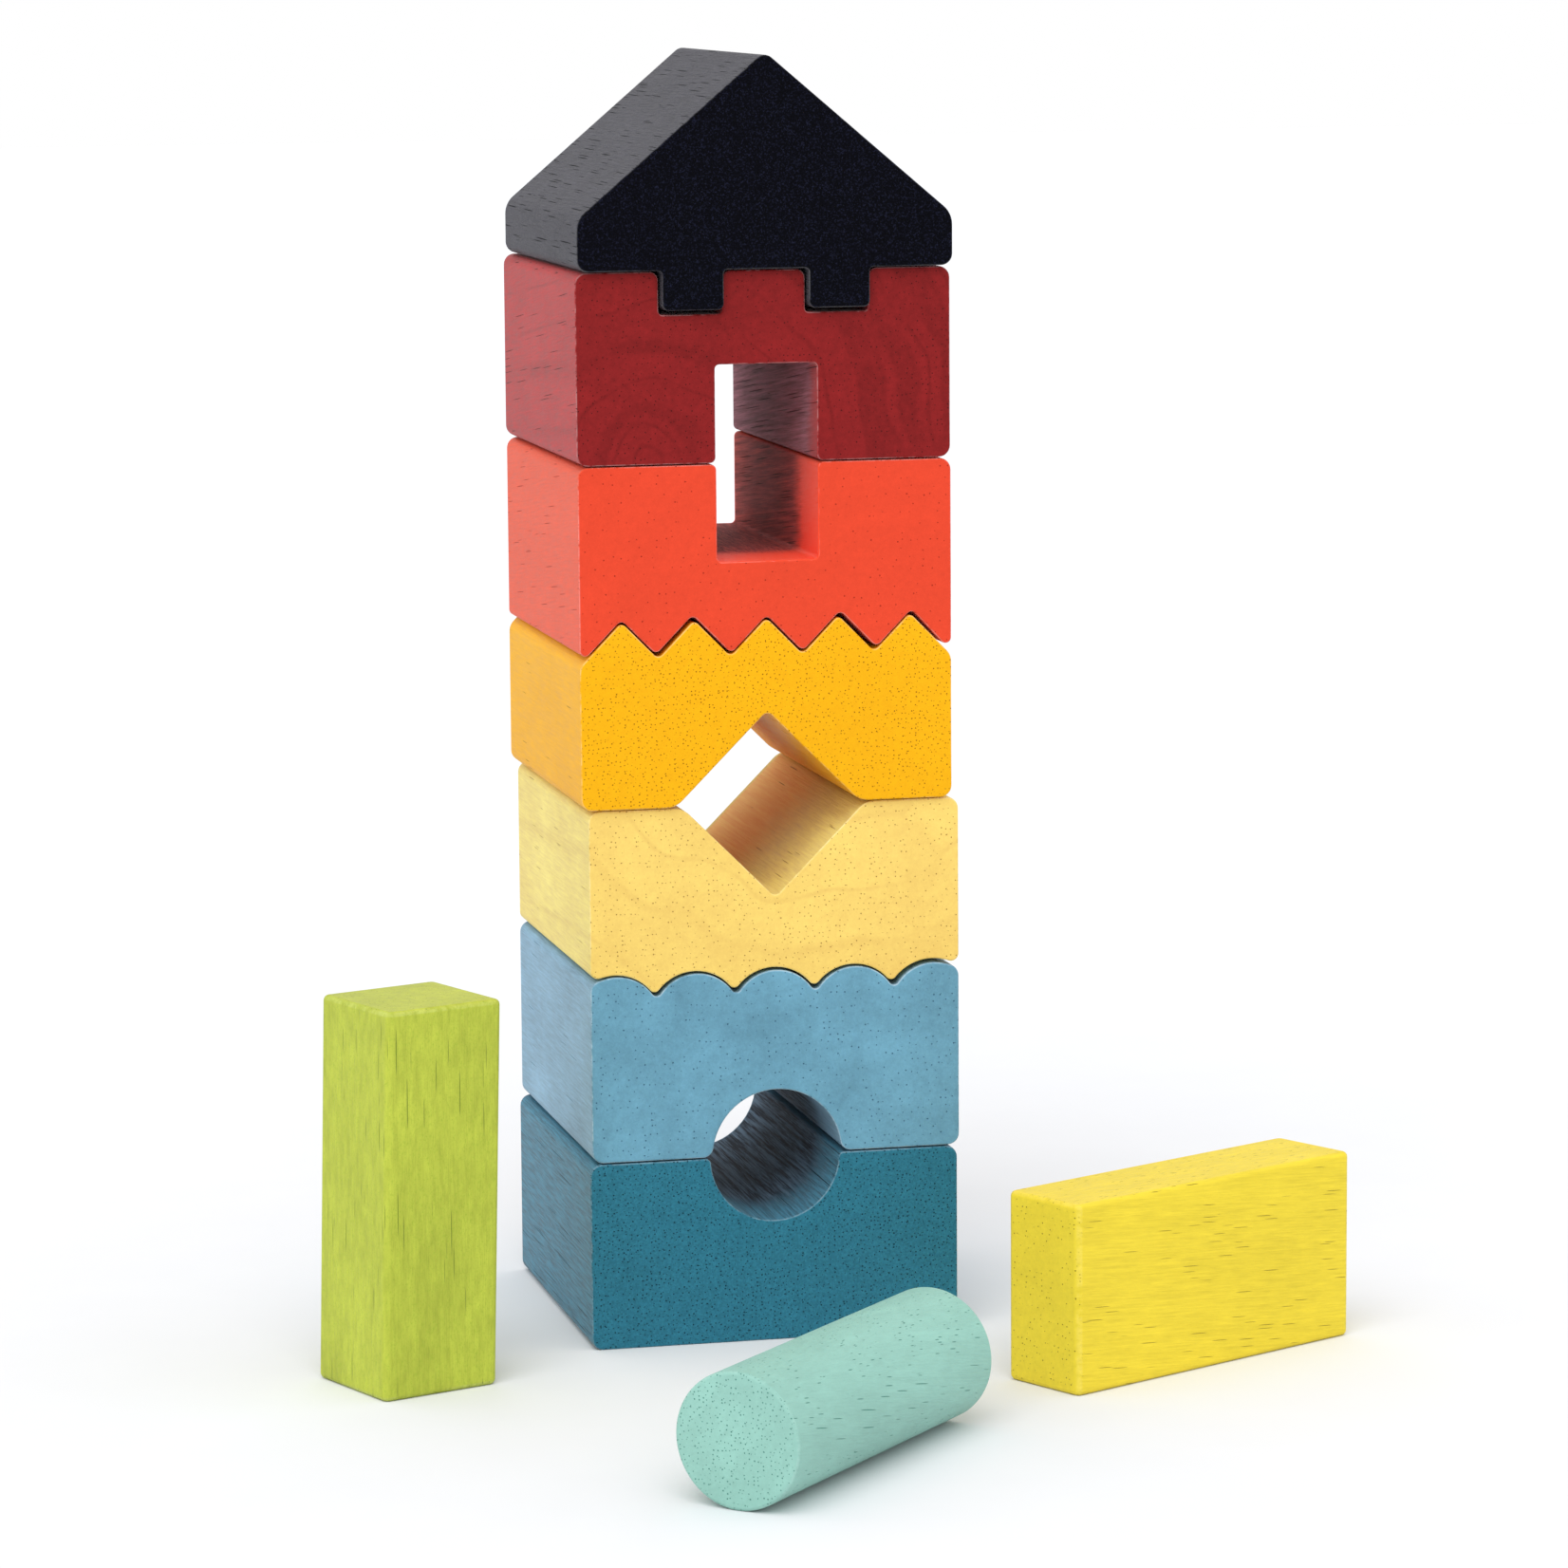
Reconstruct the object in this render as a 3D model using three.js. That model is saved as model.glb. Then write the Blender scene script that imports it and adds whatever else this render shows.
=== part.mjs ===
// A stacking puzzle tower of solid painted hardwood. Seven blocks sit one on another, and each joint has
// its own interlocking profile. Three joints also form a see-through hole between two blocks: a round one,
// a diamond and an upright slot. Three loose pieces, a rod, a square bar and a flat brick, fit those holes
// and lie or stand beside the tower.
//
// Millimetres, +Z up. The origin is the centre of the lowest block's underside. X runs across the face that
// shows the profiles, Y runs along the wood grain, and every block is one outline in X and Z drawn along Y.
import * as THREE from "three";

// ---- Driving dimensions --------------------------------------------------------------------------------

const towerWidth = 80; // X, across the profiled faces
const towerDepth = 80; // Y, along the grain

// Height that each block adds to the stack. Where a profiled seam crosses the face, the crest line of the
// lower block counts as its top.
const tealHeight = 40;
const lightBlueHeight = 40;
const creamHeight = 35.4;
const amberHeight = 39.8;
const redHeight = 32.5;
const crimsonHeight = 40.3;
const roofHeight = 45.1; // underside to ridge, before the ridge is rounded

const edgeBreak = 0.7; // bevel round the front and back faces: less than any outward rounding below
const sideRound = 2.4; // rounding of the long edges at a block's sides

// Round hole, half in the teal block and half in the light blue one
const roundHoleRadius = 14;
const roundHoleLip = 1.2; // rounding of the lower lip
const roundHoleFlare = 2.4; // wider rounding of the arch's feet

// Scalloped seam between the light blue and cream blocks
const scallopCount = 5;
const scallopDepth = 5.5; // crest to cusp, before the cusp is rounded
const scallopCutOff = 3; // how much of each outer scallop the side cuts away
const scallopGap = 0.4; // air between the two blocks, measured across the curve
const scallopValleyRound = 1.1; // in the light blue block
const scallopTipRound = 1.0; // on the cream block's tips
const scallopSideRun = 3; // the outermost arcs end this far in from the sides
const scallopHornRound = 1.6; // the cream block's points at its sides

// Diamond hole, half in the cream block and half in the amber one
const diamondSide = 28;
const diamondFloorRound = 1.6;
const diamondLip = 5; // the wide corner where each flank meets the seam

// Zigzag seam between the amber and red blocks
const toothCount = 5;
const toothDepth = 7.9; // peak to valley, before rounding
const toothLand = 1.25; // from the outermost valley to the side
const toothGap = 0.5; // air between the two blocks, measured upright
const toothRound = 1.2;
const toothShoulderRound = 3.2; // where the amber block's last flank runs out at its side

// Upright slot, half in the red block and half in the crimson one
const slotWidth = 21.8;
const slotHeight = 41;
const slotOffset = 0.4; // the slot is sawn a little off the middle of its two blocks
const slotCornerRound = 1.0;
const slotLip = 1.2;

// Two tabs under the roof in two notches in the crimson block
const tabWidth = 13;
const tabLength = 8;
const tabCentre = 15.6; // from the middle of the tower to the middle of a tab
const tabSideGap = 0.3;
const tabEndGap = 1; // the roof rests on its shoulders, so the tabs hang clear
const tabRound = 1.3;
const notchCornerRound = 0.9;
const merlonRound = 1.8;

// Roof
const eaveHeight = 11.1; // upright side above the roof's underside
const eaveRound = 5;
const ridgeRound = 2.4;

// How far blocks sit off the centre of the lowest block. Two that interlock share one sideways shift, give
// or take their side gap.
const scallopPairShift = { x: 0.5, y: 0.1 };
const zigzagPairShift = { x: -1.2, y: -1.0 };
const crimsonShift = { x: -1.4, y: -1.3 };
const roofShift = { x: -1.3, y: -3.3 };

// Loose pieces: their clearance in the holes
const insertGap = 0.4; // on every side
const slotEndGap = 0.5; // above and below the brick
const insertRound = 1.4; // long edges of the bar and brick
const rodLength = 80;
const barLength = 81;
const brickLength = 80;
const barLean = 1.5; // degrees towards +X: its ends are sawn a little out of square

// Where the loose pieces stand: the distance from a side or from the front face to a piece's centre, and
// its turn about +Z in degrees
const rodAcross = -11.8; // from the middle of the tower
const rodInFront = 103.1;
const rodTurn = 47.5;
const barBeside = 42.4;
const barInFront = 15.5;
const barTurn = 21.4;
const brickBeside = 38.8;
const brickInFront = 36.8;
const brickTurn = 27.7;

// ---- Heights worked out from them ----------------------------------------------------------------------

const tealTop = tealHeight;
const scallopCrest = tealTop + lightBlueHeight;
const creamTop = scallopCrest + creamHeight;
const toothPeak = creamTop + amberHeight;
const redTop = toothPeak + redHeight;
const crimsonTop = redTop + crimsonHeight;
const side = towerWidth / 2;
const front = -towerDepth / 2;

// ---- Outlines ------------------------------------------------------------------------------------------
// An outline is a list of stations, counter-clockwise: rounded corners joined by straight runs, and arcs.

const corner = (x, z, round) => ({ x, z, round });
const arc = (x, z, radius, from, to) => ({ x, z, radius, from, to });
const arcStep = THREE.MathUtils.degToRad(20);
const samePoint = 1e-4;

// The points of an arc, counter-clockwise where its angle grows.
function arcPoints({ x, z, radius, from, to }) {
  const steps = Math.max(2, Math.ceil(Math.abs(to - from) / arcStep));
  return Array.from({ length: steps + 1 }, (_, i) => {
    const angle = from + ((to - from) * i) / steps;
    return new THREE.Vector2(x + radius * Math.cos(angle), z + radius * Math.sin(angle));
  });
}

// The points of a rounded corner. Its radius is limited by its two straight runs: a run to another corner
// is shared with it, and a run to an arc is not.
function cornerPoints(before, here, after) {
  const at = new THREE.Vector2(here.x, here.z);
  const back = before.point.clone().sub(at);
  const ahead = after.point.clone().sub(at);
  const room = Math.min(before.share * back.length(), after.share * ahead.length());
  back.normalize();
  ahead.normalize();
  const half = Math.acos(THREE.MathUtils.clamp(back.dot(ahead), -1, 1)) / 2;
  const radius = Math.min(here.round, room * Math.tan(half));
  const inward = back.clone().add(ahead).normalize();
  const centre = at.clone().addScaledVector(inward, radius / Math.sin(half));
  const start = at.clone().addScaledVector(back, radius / Math.tan(half)).sub(centre);
  const end = at.clone().addScaledVector(ahead, radius / Math.tan(half)).sub(centre);
  const sweep = Math.atan2(start.cross(end), start.dot(end));
  const from = start.angle();
  return arcPoints(arc(centre.x, centre.y, radius, from, from + sweep));
}

// The end of a neighbouring station, and the share of the run up to it that a corner may use.
const neighbour = (s, end) =>
  s.radius
    ? { point: arcPoints(s).at(end), share: 1 }
    : { point: new THREE.Vector2(s.x, s.z), share: 0.49 };

// Whether b adds nothing to the line from a to c, as where two arcs meet with equal steps.
const inLine = (a, b, c) => Math.abs(b.clone().sub(a).cross(c.clone().sub(b))) < 1e-6;

function outline(stations) {
  const points = [];
  stations.forEach((here, i) => {
    const before = stations.at(i - 1);
    const after = stations[(i + 1) % stations.length];
    const made = here.radius
      ? arcPoints(here)
      : cornerPoints(neighbour(before, -1), here, neighbour(after, 0));
    for (const p of made) {
      if (!points.length || p.distanceTo(points.at(-1)) > samePoint) points.push(p);
    }
  });
  const next = (i) => points[(i + 1) % points.length];
  return new THREE.Shape(points.filter((p, i) => !inLine(points.at(i - 1), p, next(i))));
}

// A top edge, listed right to left, turned into the bottom edge that faces it across the level z.
const mirrored = (stations, z) =>
  stations
    .map((s) =>
      s.radius ? arc(s.x, 2 * z - s.z, s.radius, -s.to, -s.from) : corner(s.x, 2 * z - s.z, s.round),
    )
    .reverse();

// The same edge walked the other way, as the bottom of the block above.
const reversed = (stations) =>
  stations.map((s) => (s.radius ? arc(s.x, s.z, s.radius, s.to, s.from) : s)).reverse();

// ---- Edge profiles, each a top edge listed from right to left ------------------------------------------

// Half a round hole sunk into the level z, with rounded lips.
function halfRound(z, radius, lip) {
  const reach = Math.sqrt((radius + lip) ** 2 - lip ** 2);
  const lean = Math.asin(lip / (radius + lip));
  return [
    arc(reach, z - lip, lip, Math.PI / 2, Math.PI - lean),
    arc(0, z, radius, -lean, lean - Math.PI),
    arc(-reach, z - lip, lip, lean, Math.PI / 2),
  ];
}

// A V notch: half of the diamond hole.
function diamondHalf(z) {
  const reach = diamondSide / Math.SQRT2;
  return [
    corner(reach, z, diamondLip),
    corner(0, z - reach, diamondFloorRound),
    corner(-reach, z, diamondLip),
  ];
}

// A square notch: half of the upright slot.
function slotHalf(z) {
  const right = slotOffset + slotWidth / 2;
  const left = slotOffset - slotWidth / 2;
  const floor = z - slotHeight / 2;
  return [
    corner(right, z, slotLip),
    corner(right, floor, slotCornerRound),
    corner(left, floor, slotCornerRound),
    corner(left, z, slotLip),
  ];
}

// The scalloped edge. gap moves it out from the curve that the crests and cusps are set by.
function scallops(gap, cuspRound, endRound) {
  const pitch = (towerWidth + 2 * scallopCutOff) / scallopCount;
  const trueRadius = ((pitch / 2) ** 2 + scallopDepth ** 2) / (2 * scallopDepth);
  const radius = trueRadius + gap;
  const z = scallopCrest - trueRadius;
  const lean = Math.acos(pitch / 2 / (radius + cuspRound));
  const cuspZ = z + (radius + cuspRound) * Math.sin(lean);
  const outer = ((scallopCount - 1) / 2) * pitch;
  const run = side - scallopSideRun - outer; // from the outer crest to where its arc ends
  const end = Math.acos(run / radius);
  const endZ = z + radius * Math.sin(end);
  const sideZ = endZ - (scallopSideRun * run) / (endZ - z); // along the arc's tangent to the side
  const stations = [corner(side, sideZ, endRound)];
  for (let i = 0; i < scallopCount; i++) {
    const x = outer - i * pitch;
    const from = i === 0 ? end : lean;
    const to = i === scallopCount - 1 ? Math.PI - end : Math.PI - lean;
    stations.push(arc(x, z, radius, from, to));
    if (i < scallopCount - 1) {
      stations.push(arc(x - pitch / 2, cuspZ, cuspRound, -lean, lean - Math.PI));
    }
  }
  stations.push(corner(-side, sideZ, endRound));
  return stations;
}

const toothPitch = (towerWidth - 2 * toothLand) / toothCount;

// The peaks and valleys of the zigzag edge between its two outermost valleys, which are left out.
function teeth(lift) {
  const stations = [];
  for (let i = 0; i < toothCount; i++) {
    const x = ((toothCount - 1) / 2 - i) * toothPitch;
    stations.push(corner(x, toothPeak + lift, toothRound));
    if (i < toothCount - 1) {
      stations.push(corner(x - toothPitch / 2, toothPeak - toothDepth + lift, toothRound));
    }
  }
  return stations;
}

// The roof's tabs, or with gaps above zero the notches they hang in, sunk into the level z.
function tabPair(z, sideGap, endGap, rootRound, endRound) {
  const half = tabWidth / 2 + sideGap;
  const floor = z - tabLength - endGap;
  return [tabCentre, -tabCentre].flatMap((x) => [
    corner(x + half, z, rootRound),
    corner(x + half, floor, endRound),
    corner(x - half, floor, endRound),
    corner(x - half, z, rootRound),
  ]);
}

// ---- Blocks --------------------------------------------------------------------------------------------

const flatBottom = (z) => [corner(-side, z, sideRound), corner(side, z, sideRound)];
const flatTop = (z, middle) => [corner(side, z, sideRound), ...middle, corner(-side, z, sideRound)];
const notchedBottom = (z, middle) => mirrored(flatTop(z, middle), z);

const tealOutline = [
  ...flatBottom(0),
  ...flatTop(tealTop, halfRound(tealTop, roundHoleRadius, roundHoleLip)),
];
const lightBlueOutline = [
  ...notchedBottom(tealTop, halfRound(tealTop, roundHoleRadius, roundHoleFlare)),
  ...scallops(0, scallopValleyRound, sideRound),
];
const creamOutline = [
  ...reversed(scallops(scallopGap, scallopTipRound, scallopHornRound)),
  ...flatTop(creamTop, diamondHalf(creamTop)),
];
const toothSlope = toothDepth / (toothPitch / 2);
const shoulder = toothPeak - toothDepth - toothLand * toothSlope; // the last flank, carried on to the side
const amberOutline = [
  ...notchedBottom(creamTop, diamondHalf(creamTop)),
  corner(side, shoulder, toothShoulderRound),
  ...teeth(0),
  corner(-side, shoulder, toothShoulderRound),
];
const redOutline = [
  corner(-side, shoulder + toothGap, toothRound),
  ...reversed(teeth(toothGap)),
  corner(side, shoulder + toothGap, toothRound),
  ...flatTop(redTop, slotHalf(redTop)),
];
const crimsonOutline = [
  ...notchedBottom(redTop, slotHalf(redTop)),
  ...flatTop(crimsonTop, tabPair(crimsonTop, tabSideGap, tabEndGap, merlonRound, notchCornerRound)),
];
const roofOutline = [
  ...reversed(flatTop(crimsonTop, tabPair(crimsonTop, 0, 0, notchCornerRound, tabRound))),
  corner(side, crimsonTop + eaveHeight, eaveRound),
  corner(0, crimsonTop + roofHeight, ridgeRound),
  corner(-side, crimsonTop + eaveHeight, eaveRound),
];

// ---- Solids --------------------------------------------------------------------------------------------

// A solid with the given outline and full depth, its two end faces bevelled by edgeBreak.
function sawn(shape, depth) {
  return new THREE.ExtrudeGeometry(shape, {
    depth: depth - 2 * edgeBreak,
    bevelThickness: edgeBreak,
    bevelSize: edgeBreak,
    bevelOffset: -edgeBreak,
    bevelSegments: 1,
  }).translate(0, 0, edgeBreak);
}

// A tower block: its outline stands upright and runs from front to back.
const blockGeometry = (stations) =>
  sawn(outline(stations), towerDepth)
    .rotateX(Math.PI / 2)
    .translate(0, -front, 0);

// A rectangular stick standing on its end on Z = 0, centred on X and Y.
function stickGeometry(width, thickness, height) {
  const x = width / 2;
  const y = thickness / 2;
  const corners = [
    [-x, -y],
    [x, -y],
    [x, y],
    [-x, y],
  ].map(([cx, cy]) => corner(cx, cy, insertRound));
  return sawn(outline(corners), height);
}

// A rod lying on Z = 0 along X, centred on X and Y.
function rodGeometry(radius, length) {
  const profile = [
    [0, 0],
    [radius - edgeBreak, 0],
    [radius, edgeBreak],
    [radius, length - edgeBreak],
    [radius - edgeBreak, length],
    [0, length],
  ].map(([r, along]) => new THREE.Vector2(r, along));
  return new THREE.LatheGeometry(profile, 32)
    .translate(0, -length / 2, 0)
    .rotateZ(-Math.PI / 2)
    .translate(0, 0, radius);
}

// ---- The tower and its loose pieces --------------------------------------------------------------------

const paint = (color, roughness) => new THREE.MeshStandardMaterial({ color, roughness, metalness: 0 });

function piece(name, geometry, material, place = {}) {
  const mesh = new THREE.Mesh(geometry, material);
  mesh.name = name;
  mesh.position.set(place.x ?? 0, place.y ?? 0, 0);
  mesh.rotation.z = THREE.MathUtils.degToRad(place.turn ?? 0);
  return mesh;
}

const block = (name, stations, color, shift) =>
  piece(name, blockGeometry(stations), paint(color, 0.55), shift);

const tower = new THREE.Group();
tower.add(
  block("teal_base_block", tealOutline, 0x2e6f84),
  block("light_blue_scallop_block", lightBlueOutline, 0x6fa4bb, scallopPairShift),
  block("cream_valley_block", creamOutline, 0xf8d873, scallopPairShift),
  block("amber_zigzag_block", amberOutline, 0xfaba1c, zigzagPairShift),
  block("red_slot_block", redOutline, 0xf05036, zigzagPairShift),
  block("crimson_battlement_block", crimsonOutline, 0x8e2728, crimsonShift),
  block("black_roof_block", roofOutline, 0x17171f, roofShift),
);

// The bar leans after it is turned, and its ends stay level.
const barWidth = diamondSide - 2 * insertGap;
const turnBar = new THREE.Matrix4().makeRotationZ(THREE.MathUtils.degToRad(barTurn));
const leanBar = new THREE.Matrix4().makeShear(0, 0, 0, 0, Math.tan(THREE.MathUtils.degToRad(barLean)), 0);
const barGeometry = stickGeometry(barWidth, barWidth, barLength).applyMatrix4(turnBar).applyMatrix4(leanBar);
const brickThickness = slotWidth - 2 * insertGap;
const brickHeight = slotHeight - 2 * slotEndGap;

const loose = new THREE.Group();
loose.add(
  piece("mint_round_rod", rodGeometry(roundHoleRadius - insertGap, rodLength), paint(0xa2d5c7, 0.6), {
    x: rodAcross,
    y: front - rodInFront,
    turn: rodTurn,
  }),
  piece("green_square_bar", barGeometry, paint(0xb6c54b, 0.6), {
    x: -side - barBeside,
    y: front - barInFront,
  }),
  piece("yellow_flat_brick", stickGeometry(brickLength, brickThickness, brickHeight), paint(0xeed745, 0.6), {
    x: side + brickBeside,
    y: front - brickInFront,
    turn: brickTurn,
  }),
);

const tumblingTower = new THREE.Group();
tumblingTower.add(tower, loose);

export default tumblingTower;
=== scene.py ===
# %% [markdown]
# # A stacking puzzle tower in painted hardwood
#
# The toy is a column of seven blocks and three loose pieces. Every block is sawn from one square
# bar of light hardwood: an outline is cut through it from front to back, the edges are sanded,
# and a thin paint lets the pores of the wood show. The lesson builds one rule for "a sawn and
# sanded piece", feeds it ten outlines, and then builds one rule for "painted wood" that knows
# which way the grain runs.

# %% [markdown]
# ## The frame
#
# The sizes and places come from a finished engineering model, which is loaded as a fixed frame.
# Nothing in it is moved. Each visible piece made below takes its place from the box of the solid
# that it stands for, so the two can't drift apart.

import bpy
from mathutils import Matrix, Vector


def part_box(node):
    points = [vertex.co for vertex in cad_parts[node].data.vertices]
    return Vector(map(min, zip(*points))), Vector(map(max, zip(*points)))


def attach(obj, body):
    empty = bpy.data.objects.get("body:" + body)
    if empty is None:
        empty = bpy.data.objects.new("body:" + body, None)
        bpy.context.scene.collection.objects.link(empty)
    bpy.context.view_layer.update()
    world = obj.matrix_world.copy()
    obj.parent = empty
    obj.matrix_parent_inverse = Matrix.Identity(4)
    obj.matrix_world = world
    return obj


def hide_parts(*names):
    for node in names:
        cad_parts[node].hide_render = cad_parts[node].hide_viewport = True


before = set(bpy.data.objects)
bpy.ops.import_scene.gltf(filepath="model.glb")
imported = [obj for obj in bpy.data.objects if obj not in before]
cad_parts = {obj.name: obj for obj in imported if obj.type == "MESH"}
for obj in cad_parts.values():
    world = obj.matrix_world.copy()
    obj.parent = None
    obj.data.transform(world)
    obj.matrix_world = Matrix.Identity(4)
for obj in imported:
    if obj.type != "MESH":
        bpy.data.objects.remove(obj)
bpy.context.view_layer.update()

# %% [markdown]
# ## Millimetres
#
# A toy is drawn in millimetres, and Blender counts in metres. Keeping the drawing in millimetres
# and scaling once, where a mesh is made, keeps the numbers readable.

# %% Measure in millimetres
from math import acos, asin, atan, atan2, ceil, cos, degrees, hypot, pi, radians, sin, sqrt, tan

import bpy
from mathutils import Euler, Matrix, Vector

MM = 0.001


def measured(node):
    """The lowest and highest corner of a solid in the frame, in millimetres."""
    low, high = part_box(node)
    return low / MM, high / MM


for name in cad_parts:
    low, high = measured(name)
    print(f"{name:26s}", [round(v, 1) for v in high - low])

# %% [markdown]
# ## Outlines
#
# An outline is a closed list of corners in X and Z, counter-clockwise. Each corner carries the
# radius that it is rounded by. A true arc, such as a scallop, is a row of close points that need
# no rounding. Writing the shape this way keeps the drawing close to how a pattern maker would
# dimension it.

# %% Corners and arcs
ARC_STEP = radians(6)


def corner(x, z, rounding):
    return x, z, rounding


def arc(x, z, radius, start, end):
    """Close points on an arc, counter-clockwise where its angle grows."""
    steps = max(3, ceil(abs(end - start) / ARC_STEP))
    angles = [start + (end - start) * i / steps for i in range(steps + 1)]
    return [corner(x + radius * cos(a), z + radius * sin(a), 0.0) for a in angles]


def mirrored(edge, level):
    """A top edge, listed right to left, turned over into a bottom edge listed left to right."""
    return [corner(x, 2 * level - z, rounding) for x, z, rounding in reversed(edge)]


print("a half circle is drawn with", len(arc(0, 0, 1, 0, pi)), "points")


# %% [markdown]
# ## A rule for a sawn piece
#
# All ten pieces follow one rule: take an outline, round its corners, fill it, and draw it out to
# a length. That is a job for Geometry Nodes, because the same tree can then be fed a scalloped
# block, a roof or a round rod. *Fillet Curve* does the rounding, with each corner's own radius
# read from an attribute. The extrusion leaves its first face open, so a turned-over copy of the
# fill closes it.

# %% The sawing tree
MERGE_DISTANCE = 0.005 * MM


def sawing_tree():
    tree = bpy.data.node_groups.new("sawn piece", "GeometryNodeTree")
    face = tree.interface
    face.new_socket("Outline", in_out="INPUT", socket_type="NodeSocketGeometry")
    face.new_socket("Length", in_out="INPUT", socket_type="NodeSocketFloat")
    face.new_socket("Steps in a corner", in_out="INPUT", socket_type="NodeSocketInt")
    face.new_socket("Paint", in_out="INPUT", socket_type="NodeSocketMaterial")
    face.new_socket("Piece", in_out="OUTPUT", socket_type="NodeSocketGeometry")

    def add(kind, settings=None, sockets=None):
        made = tree.nodes.new(kind)
        for key, value in (settings or {}).items():
            setattr(made, key, value)
        for key, value in (sockets or {}).items():
            if isinstance(value, bpy.types.NodeSocket):
                tree.links.new(value, made.inputs[key])
            else:
                made.inputs[key].default_value = value
        return made

    given = add("NodeGroupInput").outputs
    loop = add("GeometryNodeMeshToCurve", None, {"Mesh": given["Outline"]})
    rounding = add("GeometryNodeInputNamedAttribute", {"data_type": "FLOAT"}, {"Name": "rounding"})
    is_corner = add(
        "FunctionNodeCompare",
        {"data_type": "FLOAT", "operation": "GREATER_THAN"},
        {"A": rounding.outputs["Attribute"], "B": 0.0},
    )
    count = add(
        "GeometryNodeSwitch",
        {"input_type": "INT"},
        {"Switch": is_corner.outputs["Result"], "False": 0, "True": given["Steps in a corner"]},
    )
    rounded = add(
        "GeometryNodeFilletCurve",
        {"mode": "POLY"},
        {
            "Curve": loop.outputs["Curve"],
            "Count": count.outputs["Output"],
            "Radius": rounding.outputs["Attribute"],
            "Limit Radius": True,
        },
    )
    fill = add("GeometryNodeFillCurve", {"mode": "NGONS"}, {"Curve": rounded.outputs["Curve"]})
    upwards = add("ShaderNodeCombineXYZ", None, {"X": 0.0, "Y": 0.0, "Z": 1.0})
    drawn = add(
        "GeometryNodeExtrudeMesh",
        {"mode": "FACES"},
        {
            "Mesh": fill.outputs["Mesh"],
            "Offset": upwards.outputs["Vector"],
            "Offset Scale": given["Length"],
            "Individual": False,
        },
    )
    floor = add("GeometryNodeFlipFaces", None, {"Mesh": fill.outputs["Mesh"]})
    joined = add("GeometryNodeJoinGeometry")
    tree.links.new(drawn.outputs["Mesh"], joined.inputs["Geometry"])
    tree.links.new(floor.outputs["Mesh"], joined.inputs["Geometry"])
    closed = add(
        "GeometryNodeMergeByDistance",
        None,
        {"Geometry": joined.outputs["Geometry"], "Distance": MERGE_DISTANCE},
    )
    real = add("GeometryNodeRealizeInstances", None, {"Geometry": closed.outputs["Geometry"]})
    painted = add(
        "GeometryNodeSetMaterial",
        None,
        {"Geometry": real.outputs["Geometry"], "Material": given["Paint"]},
    )
    result = add("NodeGroupOutput")
    tree.links.new(painted.outputs["Geometry"], result.inputs["Piece"])
    return tree


SAWING = sawing_tree()
print("the sawing tree has", len(SAWING.nodes), "nodes")

# %% [markdown]
# ## From an outline to a piece
#
# The outline goes in as a loop of edges with a *rounding* value at every point. The tree draws it
# out, and a *Bevel* sands the two rims. Its angle limit is above the steps of the rounded
# corners, so it finds only the rims. *Weighted Normal* keeps the big faces flat to the eye right
# up to the sanded edge. The result is then frozen into a plain mesh, and its place is put into
# the mesh itself, so that the object stays at the origin as every solid in the frame does.

# %% Saw, sand and place one piece
STEPS_IN_A_CORNER = 7
RIM_STEPS = 4
RIM_ANGLE = radians(60)  # sharper than any step of a rounded corner


def set_input(modifier, name, value):
    """Sets a modifier's input by the identifier behind its name."""
    for item in modifier.node_group.interface.items_tree:
        if item.name == name and item.in_out == "INPUT":
            modifier[item.identifier] = value


def outline_mesh(name, outline):
    mesh = bpy.data.meshes.new(name)
    points = [(x * MM, z * MM, 0.0) for x, z, _ in outline]
    last = len(points) - 1
    mesh.from_pydata(points, [(i, i + 1) for i in range(last)] + [(last, 0)], [])
    rounding = mesh.attributes.new("rounding", "FLOAT", "POINT")
    rounding.data.foreach_set("value", [r * MM for _, _, r in outline])
    return mesh


def sawn(name, outline, length, rim, place, paint, node, body):
    """A piece of that outline and length, sanded by rim, in its place and riding on its body."""
    piece = bpy.data.objects.new(name, outline_mesh(name, outline))
    bpy.context.scene.collection.objects.link(piece)
    saw = piece.modifiers.new("saw", "NODES")
    saw.node_group = SAWING
    set_input(saw, "Length", length * MM)
    set_input(saw, "Steps in a corner", STEPS_IN_A_CORNER)
    set_input(saw, "Paint", paint)
    sand = piece.modifiers.new("sand", "BEVEL")
    sand.limit_method = "ANGLE"
    sand.angle_limit = RIM_ANGLE
    sand.width = rim * MM
    sand.segments = RIM_STEPS
    sand.use_clamp_overlap = False
    depsgraph = bpy.context.evaluated_depsgraph_get()
    mesh = bpy.data.meshes.new_from_object(piece.evaluated_get(depsgraph))
    piece.modifiers.clear()
    mesh.transform(place)
    if place.is_negative:
        mesh.flip_normals()
    mesh.name = name
    mesh.shade_smooth()
    piece.data = mesh
    level = piece.modifiers.new("flat faces", "WEIGHTED_NORMAL")
    level.weight = 100
    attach(piece, body)
    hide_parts(node)
    open_edges = sum(1 for e in edge_uses(mesh) if e != 2)
    print(f"{name:18s} {len(mesh.polygons)} faces, {open_edges} open edges, on {body}")
    return piece


def edge_uses(mesh):
    """How many faces meet at each edge: 2 everywhere on a closed piece."""
    uses = [0] * len(mesh.edges)
    for loop in mesh.loops:
        uses[loop.edge_index] += 1
    return uses


# %% [markdown]
# ## Writing shader maths as plain expressions
#
# A material tree is mostly arithmetic, and arithmetic is easier to read as arithmetic. The small
# class below wraps a socket, so that `1 - mask * 0.5` adds its Math nodes by itself. Every other
# node comes from one method that takes the node's type, its settings and the values or links of
# its sockets.

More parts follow.
